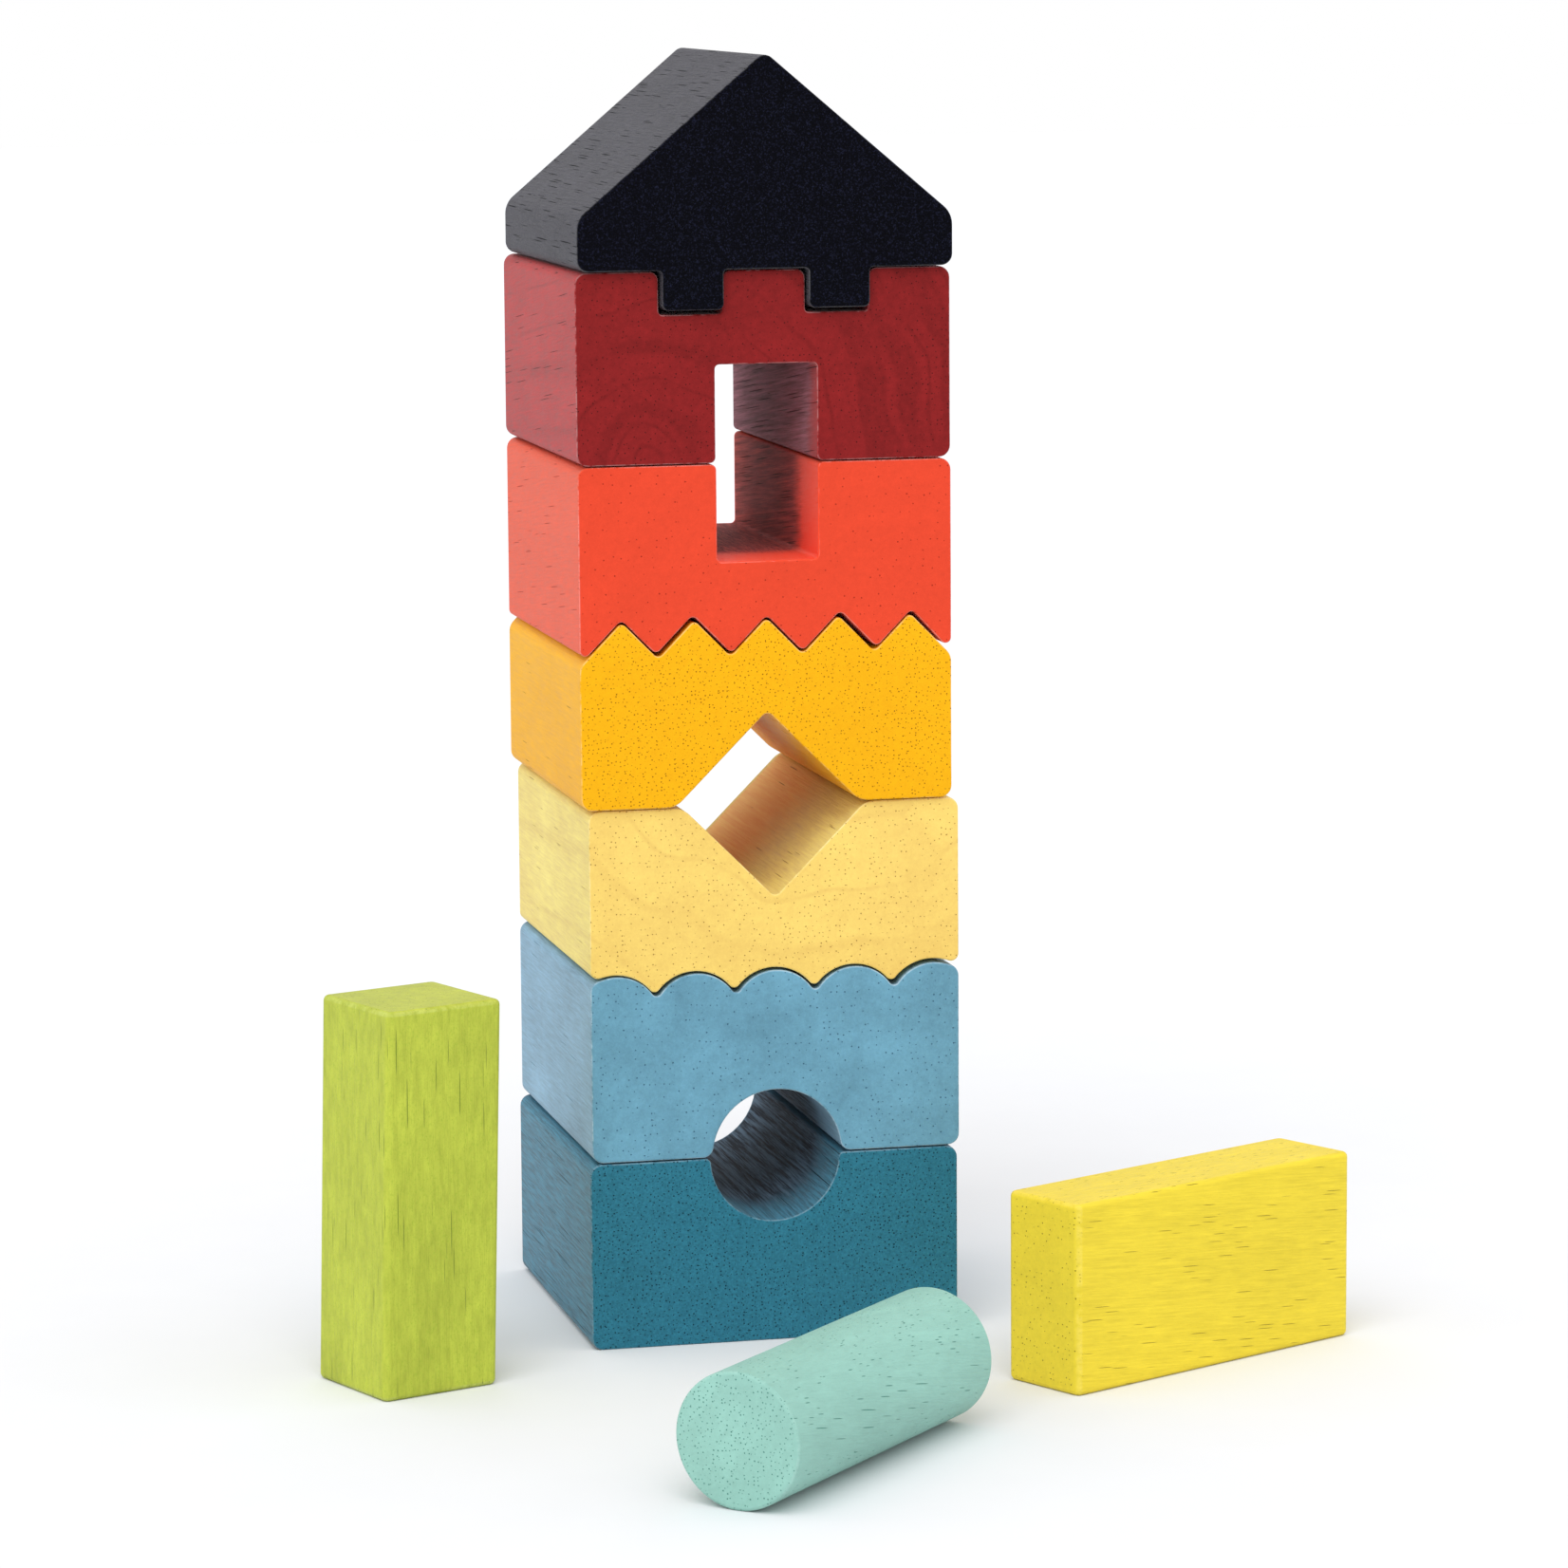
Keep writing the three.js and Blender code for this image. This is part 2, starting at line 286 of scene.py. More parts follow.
# %% Sockets that can be added and multiplied
class Value:
    """A socket of a node tree that + - * / and ** work on."""

    def __init__(self, nodes, socket):
        self.nodes = nodes
        self.socket = socket

    def math(self, operation, first, second=None, clamp=False):
        sockets = {0: first} if second is None else {0: first, 1: second}
        settings = {"operation": operation, "use_clamp": clamp}
        return self.nodes.add("ShaderNodeMath", settings, sockets)["Value"]

    def __add__(self, other):
        return self.math("ADD", self, other)

    def __radd__(self, other):
        return self.math("ADD", other, self)

    def __sub__(self, other):
        return self.math("SUBTRACT", self, other)

    def __rsub__(self, other):
        return self.math("SUBTRACT", other, self)

    def __mul__(self, other):
        return self.math("MULTIPLY", self, other)

    def __rmul__(self, other):
        return self.math("MULTIPLY", other, self)

    def __truediv__(self, other):
        return self.math("DIVIDE", self, other)

    def __pow__(self, other):
        return self.math("POWER", self, other)

    def __abs__(self):
        return self.math("ABSOLUTE", self)

    def clamped(self):
        return self.math("ADD", self, 0.0, clamp=True)

    def least(self, other):
        return self.math("MINIMUM", self, other)

    def most(self, other):
        return self.math("MAXIMUM", self, other)


class Nodes:
    """Adds nodes to one tree."""

    def __init__(self, tree):
        self.tree = tree

    def add(self, kind, settings=None, sockets=None):
        made = self.tree.nodes.new(kind)
        for key, value in (settings or {}).items():
            setattr(made, key, value)
        for key, value in (sockets or {}).items():
            if isinstance(key, int):
                socket = made.inputs[key]
            else:
                socket = next(s for s in made.inputs if key in (s.identifier, s.name))
            if isinstance(value, Value):
                self.tree.links.new(value.socket, socket)
            else:
                socket.default_value = value
        return {s.name: Value(self, s) for s in reversed(made.outputs) if s.enabled}

    def ramp(self, value, low, high):
        """0 below low, 1 above high, and a smooth step between them."""
        smooth = {"interpolation_type": "SMOOTHSTEP"}
        sockets = {"Value": value, "From Min": low, "From Max": high}
        return self.add("ShaderNodeMapRange", smooth, sockets)["Result"]

    def mix(self, share, first, second):
        """From the first colour to the second."""
        sockets = {"Factor_Float": share, "A_Color": first, "B_Color": second}
        return self.add("ShaderNodeMix", {"data_type": "RGBA"}, sockets)["Result"]

    def noise(self, vector, scale, detail=2.0, roughness=0.5):
        """Soft noise around 0.5."""
        sockets = {"Vector": vector, "Scale": scale, "Detail": detail, "Roughness": roughness}
        return self.add("ShaderNodeTexNoise", None, sockets)["Fac"]

    def vector(self, x, y, z):
        return self.add("ShaderNodeCombineXYZ", None, {"X": x, "Y": y, "Z": z})["Vector"]


def rgb(red, green, blue):
    """A display colour, 0 to 255, as the linear colour that a shader works in."""

    def linear(channel):
        share = channel / 255
        return ((share + 0.055) / 1.055) ** 2.4 if channel > 10 else share / 12.92

    return linear(red), linear(green), linear(blue), 1.0


def scaled(colour, factor):
    """A colour made lighter or darker, and never past white."""
    return (*(min(1.0, c * factor) for c in colour[:3]), 1.0)


print("a middle grey of 128 is", round(rgb(128, 128, 128)[0], 3), "in linear light")


# %% [markdown]
# ## Painted wood
#
# The wood is a solid thing, so its pattern is a solid one: three-dimensional textures in the
# piece's own millimetres, with Y along the grain. An image wrapped round each block would show
# seams at the corners, and a solid pattern runs through them as real wood does. Grain rarely runs
# quite true to the length of a sawn piece, so the pattern may be tilted a little. How far a face
# leans from that length says whether it is an end or a side.

# %% What a point of the wood knows about itself
CLOUD_SCALE = 0.06  # features in a millimetre: clouds a centimetre or two across
MOTTLE_SCALE = 0.7
STRAND_SCALE = 2.2
AS_TEXTURE = {"vector_type": "TEXTURE"}


class Wood:
    """The coordinates and the noises that the colour and the bump of a piece are built from."""

    def __init__(self, nodes, centre, turn, tilt, seed):
        where = nodes.add("ShaderNodeTexCoord")
        sockets = {
            "Vector": where["Object"],
            "Location": [c * MM for c in centre],
            "Rotation": turn,
            "Scale": (MM, MM, MM),
        }
        self.placed = nodes.add("ShaderNodeMapping", AS_TEXTURE, sockets)["Vector"]
        sockets = {"Vector": self.placed, "Rotation": (tilt, 0.0, 0.0)}
        grown = nodes.add("ShaderNodeMapping", AS_TEXTURE, sockets)["Vector"]
        split = nodes.add("ShaderNodeSeparateXYZ", None, {"Vector": grown})
        x, y, z = self.x, self.y, self.z = split["X"], split["Y"], split["Z"]

        sockets = {0: where["Normal"], 1: Euler(turn).to_matrix() @ Vector((0, 1, 0))}
        lean = nodes.add("ShaderNodeVectorMath", {"operation": "DOT_PRODUCT"}, sockets)
        self.facing = abs(lean["Value"])
        self.ends = nodes.ramp(self.facing, 0.5, 0.85)
        self.sides = 1.0 - self.ends

        cloud = nodes.vector(x + seed, y * 0.5, z - seed)
        self.broad = nodes.noise(cloud, CLOUD_SCALE, 3.0, 0.6)
        self.fine = nodes.noise(nodes.vector(x - seed, y * 0.3, z), MOTTLE_SCALE, 4.0, 0.65)
        strand = nodes.vector(x * STRAND_SCALE, y * 0.09, z * STRAND_SCALE + seed)
        self.strand = nodes.noise(strand, 1.0, 3.0, 0.7)


print("clouds", round(1 / CLOUD_SCALE), "mm and strands", round(1 / STRAND_SCALE, 1), "mm across")

# %% [markdown]
# ## Growth rings
#
# The dark late wood of each year follows the distance to the pith, the middle of the trunk, which
# mostly lies outside a small block. On the ends it shows as arcs, and on the sides as long
# stripes. A plain wave of that distance would give even circles. A one-dimensional noise of it,
# bent by a soft wobble, gives narrow and wide years, and the lines fade where the clouds are
# dark.

# %% Late wood
RING_LINE = 0.09
WOBBLE = 12.0  # millimetres


def late_wood(nodes, wood, pith, ring_width, seed):
    """1 in the middle of each dark line, and 0 between the lines."""
    x, y, z = wood.x, wood.y, wood.z
    wobble = nodes.noise(nodes.vector(x, y * 0.1, z + seed), 0.05, 1.0) * WOBBLE
    from_pith = ((x - pith[0]) ** 2.0 + (z - pith[1]) ** 2.0) ** 0.5 + wobble
    sockets = {"W": from_pith / ring_width + seed, "Scale": 1.0, "Detail": 1.0}
    ring = nodes.add("ShaderNodeTexNoise", {"noise_dimensions": "1D"}, sockets)["Fac"]
    line = 1.0 - nodes.ramp(abs(ring - 0.5), 0.0, RING_LINE)
    return line * nodes.ramp(wood.broad, 0.35, 0.6)


print("rings wander by up to", WOBBLE, "mm")

# %% [markdown]
# ## Pores
#
# Fine tubes run along the grain of this wood. A face that cuts across them shows dots, and a face
# that runs along them shows dashes. One field of long cells could give both, but then the size of
# the dots hangs on the length of the dashes, so the ends have a flat field of their own. Each
# cell of a Voronoi texture holds one opening at most. The cell's own colour is the lot that says
# how large it is, and whether it is there.

# %% Dots and dashes
DOTS = {"cell": 1.1, "radius": 0.17, "share": 0.7}
DASHES = {"cell": 0.6, "length": 30.0, "radius": 0.1, "share": 0.6}


def pore_field(nodes, where, kind, cell, radius, share, crowding):
    """Small dark openings, one at most in each cell; a share of the cells has one."""
    settings = {"voronoi_dimensions": kind, "feature": "F1"}
    cells = nodes.add("ShaderNodeTexVoronoi", settings, {"Vector": where, "Scale": 1.0})
    lot = nodes.add("ShaderNodeSeparateColor", None, {"Color": cells["Color"]})
    size = radius / cell * (0.5 + 0.75 * lot["Red"])
    least = 1.0 - crowding * share
    is_open = nodes.ramp(lot["Green"] - least, 0.0, 0.04)
    return (1.0 - nodes.ramp(cells["Distance"], size * 0.6, size)) * is_open


def pores(nodes, wood, dots, dashes, seed):
    """The dots and the dashes, crowded where the clouds are pale."""
    crowding = 0.3 + 1.4 * wood.broad
    wide, thin = dots["cell"], dashes["cell"]
    across = nodes.vector(wood.x / wide + seed, wood.z / wide, 0.0)
    dot = pore_field(nodes, across, "2D", wide, dots["radius"], dots["share"], crowding)
    along = nodes.vector(wood.x / thin, wood.y / dashes["length"] + seed, wood.z / thin)
    dash = pore_field(nodes, along, "3D", thin, dashes["radius"], dashes["share"], crowding)
    return dot, dash


print("dots up to", round(2 * 1.25 * DOTS["radius"], 2), "mm across")

# %% [markdown]
# ## Stain inside the holes
#
# The paint was put on from the front, so it reaches a centimetre or two into a hole and hardly at
# all from the back. The rest of the wall is bare wood with a thin stain, and its strands show.
# Cutting the wall into faces of its own would give a hard line, so the wall is found by its shape
# in the face instead, and the paint fades out along the strands.

# %% Inside a hole
BACK_SHARPNESS = 20.0  # the paint ends this many times more sharply at the back
RAGGED = 10.0  # millimetres
STAIN_SCALE = 1.4


def inside_hole(nodes, hole, x, z):
    """1 on the walls of a half hole, by its shape in the face; x and z are from its middle."""
    if hole["shape"] == "round":
        reach = (x * x + z * z) ** 0.5
    elif hole["shape"] == "diamond":
        reach = abs(x) + abs(z)
    else:
        reach = (abs(x) - hole["half_width"]).most(abs(z) - hole["half_height"])
    return 1.0 - nodes.ramp(reach, hole["reach"] + 0.1, hole["reach"] + 0.9)


def stained_wall(nodes, wood, hole, half_length, dash):
    """The wall of a hole, the bare part of that wall, and the colour of the stain on it."""
    placed = nodes.add("ShaderNodeSeparateXYZ", None, {"Vector": wood.placed})
    middle_x, middle_z = hole["middle"]
    wall = inside_hole(nodes, hole, placed["X"] - middle_x, placed["Z"] - middle_z)
    from_front = half_length + placed["Y"]
    from_back = (half_length - placed["Y"]) * BACK_SHARPNESS
    edge = from_front.least(from_back) + (wood.strand - 0.5) * RAGGED + (wood.broad - 0.5) * RAGGED
    bare = wall * nodes.ramp(edge, *hole["fade"])
    along = nodes.vector(wood.x * STAIN_SCALE, wood.y * 0.045, wood.z * STAIN_SCALE)
    streak = nodes.noise(along, 1.0, 4.0, 0.75)
    stain = nodes.mix(nodes.ramp(streak, *hole["streaks"]), hole["dark"], hole["light"])
    stain = nodes.mix(dash * 0.85, stain, scaled(hole["dark"], 0.3))
    return wall, bare, stain


print("the edge of the paint wanders by about", RAGGED / 2, "mm")

# %% [markdown]
# ## The paint
#
# A thin matt paint lies over the wood and shows it. Each colour is a mix of a deep and a pale
# tone of itself, moved about by clouds, mottling, rings and strands. The sides take up paint
# differently from the ends and may have a colour of their own, which also carries painted light:
# it makes them paler or stronger, as the sheen and the lamp that fall on them do. The sanded rims
# are painted paler, partly as wear and partly as a painted highlight, and are found by how the
# face leans, since only a rim lies between an end and a side. Inside a slot, a brighter copy of
# the paint is painted bounce light on the walls. A low index of refraction keeps the paint matt,
# and a little sheen lifts it where it is seen at a slant.

# %% The material rule
PAINT_IOR = 1.18
BUMP_DEPTH = 0.15 * MM


def blank_material(name):
    material = bpy.data.materials.new(name)
    material.use_nodes = True
    material.node_tree.nodes.clear()
    return material, Nodes(material.node_tree)


def painted_wood(
    name,
    paint,
    centre,
    half_length,
    turn=(0.0, 0.0, 0.0),
    tilt=0.0,
    cloud=0.6,
    mottle=0.7,
    rings=0.3,
    ring_width=7.0,
    pith=(25.0, -30.0),
    fibre=1.6,
    dots=None,
    dashes=None,
    pore_colour=None,
    specks=None,
    side=None,
    wear=0.3,
    sheen=0.12,
    ior=PAINT_IOR,
    hole=None,
    relief=1.0,
    seed=0.0,
):
    """A paint over wood. centre is in millimetres, turn brings Y onto the piece's length, and tilt
    leans the grain away from it."""
    material, nodes = blank_material(name)
    material["slot"] = name
    wood = Wood(nodes, centre, turn, tilt, seed)
    dot, dash = pores(nodes, wood, {**DOTS, **(dots or {})}, {**DASHES, **(dashes or {})}, seed)
    pore = dot * wood.ends + dash * wood.sides

    tone = (
        0.5
        + (wood.broad - 0.5) * cloud
        + (wood.fine - 0.5) * mottle
        - late_wood(nodes, wood, pith, ring_width, seed) * (0.45 * rings)
        + (wood.strand - 0.5) * (wood.sides * fibre + wood.ends * (0.35 * fibre))
    ).clamped()
    colour = nodes.mix(tone, scaled(paint, 0.7), scaled(paint, 1.3))
    # The sides' own colour is partly painted light: it makes them paler or stronger, as the sheen
    # and the lamp that fall on them do.
    if side is not None:
        side_colour, side_share = side
        side_tone = nodes.mix(tone, scaled(side_colour, 0.65), scaled(side_colour, 1.35))
        colour = nodes.mix(wood.sides * side_share, colour, side_tone)

    # Rims painted paler: partly worn paint, partly a painted highlight along the sanded edge.
    slant = nodes.ramp(wood.facing, 0.05, 0.3) * (1.0 - nodes.ramp(wood.facing, 0.75, 0.97))
    rim = slant * nodes.ramp(wood.fine + wood.broad, 0.8, 1.15)
    worn_and_highlit = (*(0.5 + 0.5 * c for c in scaled(paint, 1.2)[:3]), 1.0)
    colour = nodes.mix(rim * wear, colour, worn_and_highlit)
    colour = nodes.mix(pore * 0.9, colour, pore_colour or scaled(paint, 0.3))
    if specks is not None:
        speck_colour, speck_share = specks
        grains = nodes.noise(nodes.vector(wood.x, wood.y * 0.6, wood.z), 2.6, 2.0, 0.8)
        colour = nodes.mix(nodes.ramp(grains, 0.5, 0.72) * speck_share, colour, speck_colour)

    rough = 0.5 + (wood.fine - 0.5) * 0.2 + pore * 0.3 + (wood.strand - 0.5) * 0.15
    if hole is not None:
        wall, bare, stain = stained_wall(nodes, wood, hole, half_length, dash)
        # A hole's own "paint" colour is painted bounce light: a brighter copy of the paint on the
        # hole's side walls, for the light that reflects about inside the slot.
        if "paint" in hole:
            colour = nodes.mix(wall * wood.sides, colour, hole["paint"])
        colour = nodes.mix(bare, colour, stain)
        rough = rough + bare * 0.2

    height = wood.fine * 0.4 + wood.strand * (wood.sides * 0.8 + 0.3) - pore * 1.2
    sockets = {"Strength": 0.8, "Distance": BUMP_DEPTH * relief, "Height": height}
    sockets = {
        "Base Color": colour,
        "Roughness": rough.clamped(),
        "Normal": nodes.add("ShaderNodeBump", None, sockets)["Normal"],
        "IOR": ior,
        "Sheen Weight": sheen,
        "Sheen Roughness": 0.3,
    }
    shader = nodes.add("ShaderNodeBsdfPrincipled", None, sockets)["BSDF"]
    nodes.add("ShaderNodeOutputMaterial", None, {"Surface": shader})
    print(f"{name:18s} {len(nodes.tree.nodes)} nodes")
    return material


# %% [markdown]
# ## The lowest block
#
# The teal block carries half of the round hole. The saw leaves sharp lips where the hole meets
# the seam, and sanding rounds them. Here the lip is an arc of its own that runs smoothly into the
# hole, because a plain corner radius would flatten the first part of the circle.

# %% Sizes that several blocks share
SIDE_ROUND = 2.4
RIM = 0.42
SEAM = 0.3  # the sanded blocks rest on their high spots, so a fine dark line shows between them

base_low, base_high = measured("teal_base_block")
HALF = (base_high.x - base_low.x) / 2
DEPTH = base_high.y - base_low.y


def flat_bottom(z):
    return [corner(-HALF, z, SIDE_ROUND), corner(HALF, z, SIDE_ROUND)]


def flat_top(z, middle):
    return [corner(HALF, z, SIDE_ROUND), *middle, corner(-HALF, z, SIDE_ROUND)]


def notched_bottom(z, middle):
    """A bottom edge that faces a top edge at level z across a fine seam."""
    return [corner(px, pz + SEAM, r) for px, pz, r in mirrored(flat_top(z, middle), z)]


def upright(node):
    """Turns a drawn outline upright: its length runs from a block's back face to its front face."""
    low, high = measured(node)
    middle = Vector(((low.x + high.x) / 2, high.y, 0.0)) * MM
    return Matrix.Translation(middle) @ Matrix.Rotation(pi / 2, 4, "X")


def wood_of(node, name, paint, **finish):
    """The paint of a tower block, with its pattern centred in the block."""
    low, high = measured(node)
    middle = (low + high) / 2
    return painted_wood(name, paint, middle, DEPTH / 2, **finish)


def from_middle(node, z):
    """A level as a height from the middle of a block, where its pattern is centred."""
    low, high = measured(node)
    return z - (low.z + high.z) / 2


def saw_block(name, outline, paint, node, body):
    """A block of the tower, as deep as the tower is and upright in its place."""
    return sawn(name, outline, DEPTH, RIM, upright(node), paint, node, body)


print("each block is", round(2 * HALF, 2), "mm wide and", round(DEPTH, 2), "mm deep")


# %% Half a round hole
HOLE_RADIUS = 14.0
HOLE_LIP = 1.0
HOLE_FLARE = 2.4


def half_round(z, radius, lip):
    """Half a round hole sunk into the level z, with rounded lips."""
    reach = sqrt((radius + lip) ** 2 - lip**2)
    lean = asin(lip / (radius + lip))
    return [
        *arc(reach, z - lip, lip, pi / 2, pi - lean),
        *arc(0, z, radius, -lean, lean - pi)[1:-1],
        *arc(-reach, z - lip, lip, lean, pi / 2),
    ]


print("hole", 2 * HOLE_RADIUS, "mm across, with lips of", HOLE_LIP, "and", HOLE_FLARE, "mm")


# %% Saw the teal block
teal_top = base_high.z
ROUND_STAIN = {
    "shape": "round",
    "reach": HOLE_RADIUS,
    "fade": (12.0, 26.0),
    "streaks": (0.36, 0.66),
    "dark": rgb(22, 34, 50),
    "light": rgb(118, 144, 166),
}
teal_paint = wood_of(
    "teal_base_block",
    "teal_paint",
    rgb(44, 111, 133),
    dots={"cell": 1.0, "radius": 0.17, "share": 0.9},
    dashes={"share": 1.0, "length": 55.0, "radius": 0.13},
    pore_colour=rgb(12, 48, 62),
    cloud=0.5,
    mottle=0.6,
    rings=0.15,
    fibre=5.0,
    wear=0.25,
    hole={**ROUND_STAIN, "middle": (0.0, from_middle("teal_base_block", teal_top))},
    side=(rgb(84, 126, 150), 0.3),
    seed=3.0,
)
saw_block(
    "teal_block",
    flat_bottom(base_low.z) + flat_top(teal_top, half_round(teal_top, HOLE_RADIUS, HOLE_LIP)),
    teal_paint,
    "teal_base_block",
    "teal_base",
)

# %% [markdown]
# ## The scalloped seam
#
# Five scallops cross the face. The lower block has the humps and the upper one the hollows. They
# were sawn in one pass, so they match but for the width of the cut, and hand sanding made that
# width uneven. Each hollow has its own clearance here. A small circle that touches both
# neighbouring arcs rounds each cusp, and its centre is where two grown circles cross.

# %% Scallops
sky_low, sky_high = measured("light_blue_scallop_block")
SCALLOPS = 5
SCALLOP_DEPTH = 5.5
SCALLOP_CUT_OFF = 3.0
SCALLOP_SIDE_RUN = 3.0
scallop_crest = sky_high.z
scallop_pitch = (2 * HALF + 2 * SCALLOP_CUT_OFF) / SCALLOPS
scallop_radius = ((scallop_pitch / 2) ** 2 + SCALLOP_DEPTH**2) / (2 * SCALLOP_DEPTH)


def scalloped(clearances, cusp_round, end_round, shift=0.0):
    """The scalloped edge from right to left, each arc grown by its clearance and moved by shift."""
    z = scallop_crest - scallop_radius
    xs = [((SCALLOPS - 1) / 2 - i) * scallop_pitch + shift for i in range(SCALLOPS)]
    radii = [scallop_radius + c for c in clearances]
    cusps = []
    for i in range(SCALLOPS - 1):
        right, left = radii[i] + cusp_round, radii[i + 1] + cusp_round
        over = (scallop_pitch**2 + right**2 - left**2) / (2 * scallop_pitch)
        cusps.append((xs[i] - over, z + sqrt(right**2 - over**2)))

    def side_end(radius, x):
        run = HALF - SCALLOP_SIDE_RUN - abs(x)
        angle = acos(run / radius)
        rise = radius * sin(angle)
        return angle, z + rise - SCALLOP_SIDE_RUN * run / rise

    first_angle, first_z = side_end(radii[0], xs[0])
    last_angle, last_z = side_end(radii[-1], xs[-1])
    edge = [corner(HALF, first_z, end_round)]
    for i, (x, radius) in enumerate(zip(xs, radii)):
        start = first_angle if i == 0 else atan2(cusps[i - 1][1] - z, cusps[i - 1][0] - x)
        end = pi - last_angle if i == SCALLOPS - 1 else atan2(cusps[i][1] - z, cusps[i][0] - x)
        edge += arc(x, z, radius, start, end)
        if i < SCALLOPS - 1:
            cx, cz = cusps[i]
            to_left = atan2(z - cz, xs[i + 1] - cx)
            edge += arc(cx, cz, cusp_round, end - pi, to_left)[1:-1]
    return edge + [corner(-HALF, last_z, end_round)]


print(f"{SCALLOPS} scallops of radius {scallop_radius:.2f} mm, {scallop_pitch:.1f} mm apart")

# %% [markdown]
# The light blue block is an arch with humps on its back. Its paint is cloudy and chalky, and its
# rims are painted paler than those of any other block, partly as worn paint and partly as a
# painted highlight. Its lower lips flare wider than those of the teal block.

# %% Saw the light blue block
light_blue_paint = wood_of(
    "light_blue_scallop_block",
    "light_blue_paint",
    rgb(103, 153, 177),
    dots={"cell": 1.5, "radius": 0.16, "share": 0.5},
    dashes={"share": 0.5, "length": 40.0},
    pore_colour=rgb(52, 92, 116),
    cloud=1.3,
    mottle=0.55,
    rings=0.15,
    fibre=1.6,
    wear=0.45,
    hole={**ROUND_STAIN, "middle": (0.0, from_middle("light_blue_scallop_block", sky_low.z))},
    side=(rgb(158, 180, 204), 0.35),
    seed=17.0,
)
saw_block(
    "light_blue_block",
    notched_bottom(sky_low.z, half_round(sky_low.z, HOLE_RADIUS, HOLE_FLARE))
    + scalloped([0.0] * SCALLOPS, 1.1, SIDE_ROUND),
    light_blue_paint,
    "light_blue_scallop_block",
    "light_blue",
)

# %% [markdown]
# ## The diamond hole
#
# The cream block's top and the amber block's underside each carry a right-angled notch. Together
# they make a diamond that the square bar passes through. The lips are rounded widely, and the
# floor of each notch hardly at all.

# %% Half a diamond
DIAMOND_SIDE = 28.0
DIAMOND_LIP = 5.0
DIAMOND_FLOOR_ROUND = 1.4
cream_top = measured("cream_valley_block")[1].z
diamond_reach = DIAMOND_SIDE / sqrt(2)


def half_diamond(z):
    return [
        corner(diamond_reach, z, DIAMOND_LIP),
        corner(0.0, z - diamond_reach, DIAMOND_FLOOR_ROUND),
        corner(-diamond_reach, z, DIAMOND_LIP),
    ]


DIAMOND_STAIN = {
    "shape": "diamond",
    "reach": diamond_reach,
    "fade": (22.0, 52.0),
    "streaks": (0.2, 0.85),
}
print("the diamond is", round(2 * diamond_reach, 1), "mm from lip to lip")

# %% [markdown]
# The cream paint is the thinnest, so the rings show through it, and the middle of the rings lies
# above the block. Its underside carries the hollows that drop over the scallops. The tips between
# them are pointed, and the two horns at the sides are blunter.

# %% Saw the cream block
HOLLOW_CLEARANCES = [0.9, 0.5, 0.65, 0.55, 0.4]
HOLLOW_SHIFT = -0.35
TIP_ROUND = 1.25
HORN_ROUND = 1.6
cream_paint = wood_of(
    "cream_valley_block",
    "cream_paint",
    rgb(249, 201, 108),
    dots={"cell": 1.1, "radius": 0.14, "share": 0.5},
    dashes={"share": 0.4, "length": 24.0},
    pore_colour=rgb(160, 118, 56),
    cloud=0.7,
    mottle=0.35,
    rings=0.4,
    ring_width=13.0,
    pith=(10.0, 60.0),
    fibre=0.9,
    sheen=0.09,
    hole={
        **DIAMOND_STAIN,
        "middle": (0.0, from_middle("cream_valley_block", cream_top)),
        "dark": rgb(238, 180, 114),
        "light": rgb(250, 216, 138),
    },
    side=(rgb(250, 210, 119), 1.0),
    seed=29.0,
)
saw_block(
    "cream_block",
    list(reversed(scalloped(HOLLOW_CLEARANCES, TIP_ROUND, HORN_ROUND, HOLLOW_SHIFT)))
    + flat_top(cream_top, half_diamond(cream_top)),
    cream_paint,
    "cream_valley_block",
    "cream",
)

# %% [markdown]
# ## The zigzag seam
#
# The amber block ends in five teeth, and the red block has the five notches that drop over them.
# The teeth are a repeated corner. The notches aren't quite their copy: every flank has its own
# slack. Each flank of a notch is a straight line moved off the tooth by that slack, and the
# corners are where two lines cross.

# %% Teeth and the notches over them
TEETH = 5
TOOTH_DEPTH = 7.9
TOOTH_LAND = 1.25
TOOTH_ROUND = 1.2
SHOULDER_ROUND = 3.2
amber_low, amber_high = measured("amber_zigzag_block")
tooth_pitch = (2 * HALF - 2 * TOOTH_LAND) / TEETH
tooth_slope = TOOTH_DEPTH / (tooth_pitch / 2)
stretch = hypot(1.0, tooth_slope)
tooth_peak = amber_high.z + TOOTH_ROUND * (stretch - 1.0)
tooth_xs = [((TEETH - 1) / 2 - i) * tooth_pitch for i in range(TEETH)]


def teeth():
    """Peaks and valleys from right to left, without the two outermost valleys."""
    edge = []
    for i, x in enumerate(tooth_xs):
        edge.append(corner(x, tooth_peak, TOOTH_ROUND))
        if i < TEETH - 1:
            edge.append(corner(x - tooth_pitch / 2, tooth_peak - TOOTH_DEPTH, TOOTH_ROUND))
    return edge


def crossing(x, z, right, left):
    """Where a right-falling flank meets a left-falling one, each raised by its slack."""
    sideways = (right - left) * stretch / (2 * tooth_slope)
    return corner(x + sideways, z + (right + left) * stretch / 2, TOOTH_ROUND)


def notches(slacks):
    """The red block's edge from right to left; slacks are the (right, left) pair of each tooth."""
    edge = []
    for i, (x, (right, left)) in enumerate(zip(tooth_xs, slacks)):
        edge.append(crossing(x, tooth_peak, right, left))
        if i < TEETH - 1:
            valley = tooth_peak - TOOTH_DEPTH
            next_right = slacks[i + 1][0]
            edge.append(crossing(x - tooth_pitch / 2, valley, next_right, left))
    return edge


shoulder = tooth_peak - TOOTH_DEPTH - TOOTH_LAND * tooth_slope
print(f"{TEETH} teeth {TOOTH_DEPTH} mm deep, flanks at {degrees(atan(tooth_slope)):.1f} degrees")

# %% [markdown]
# The amber paint is even and strong in colour, so almost the only thing that shows in it is the
# pores. The outer shoulders of the teeth are rounded widely, as they would be the first to chip.

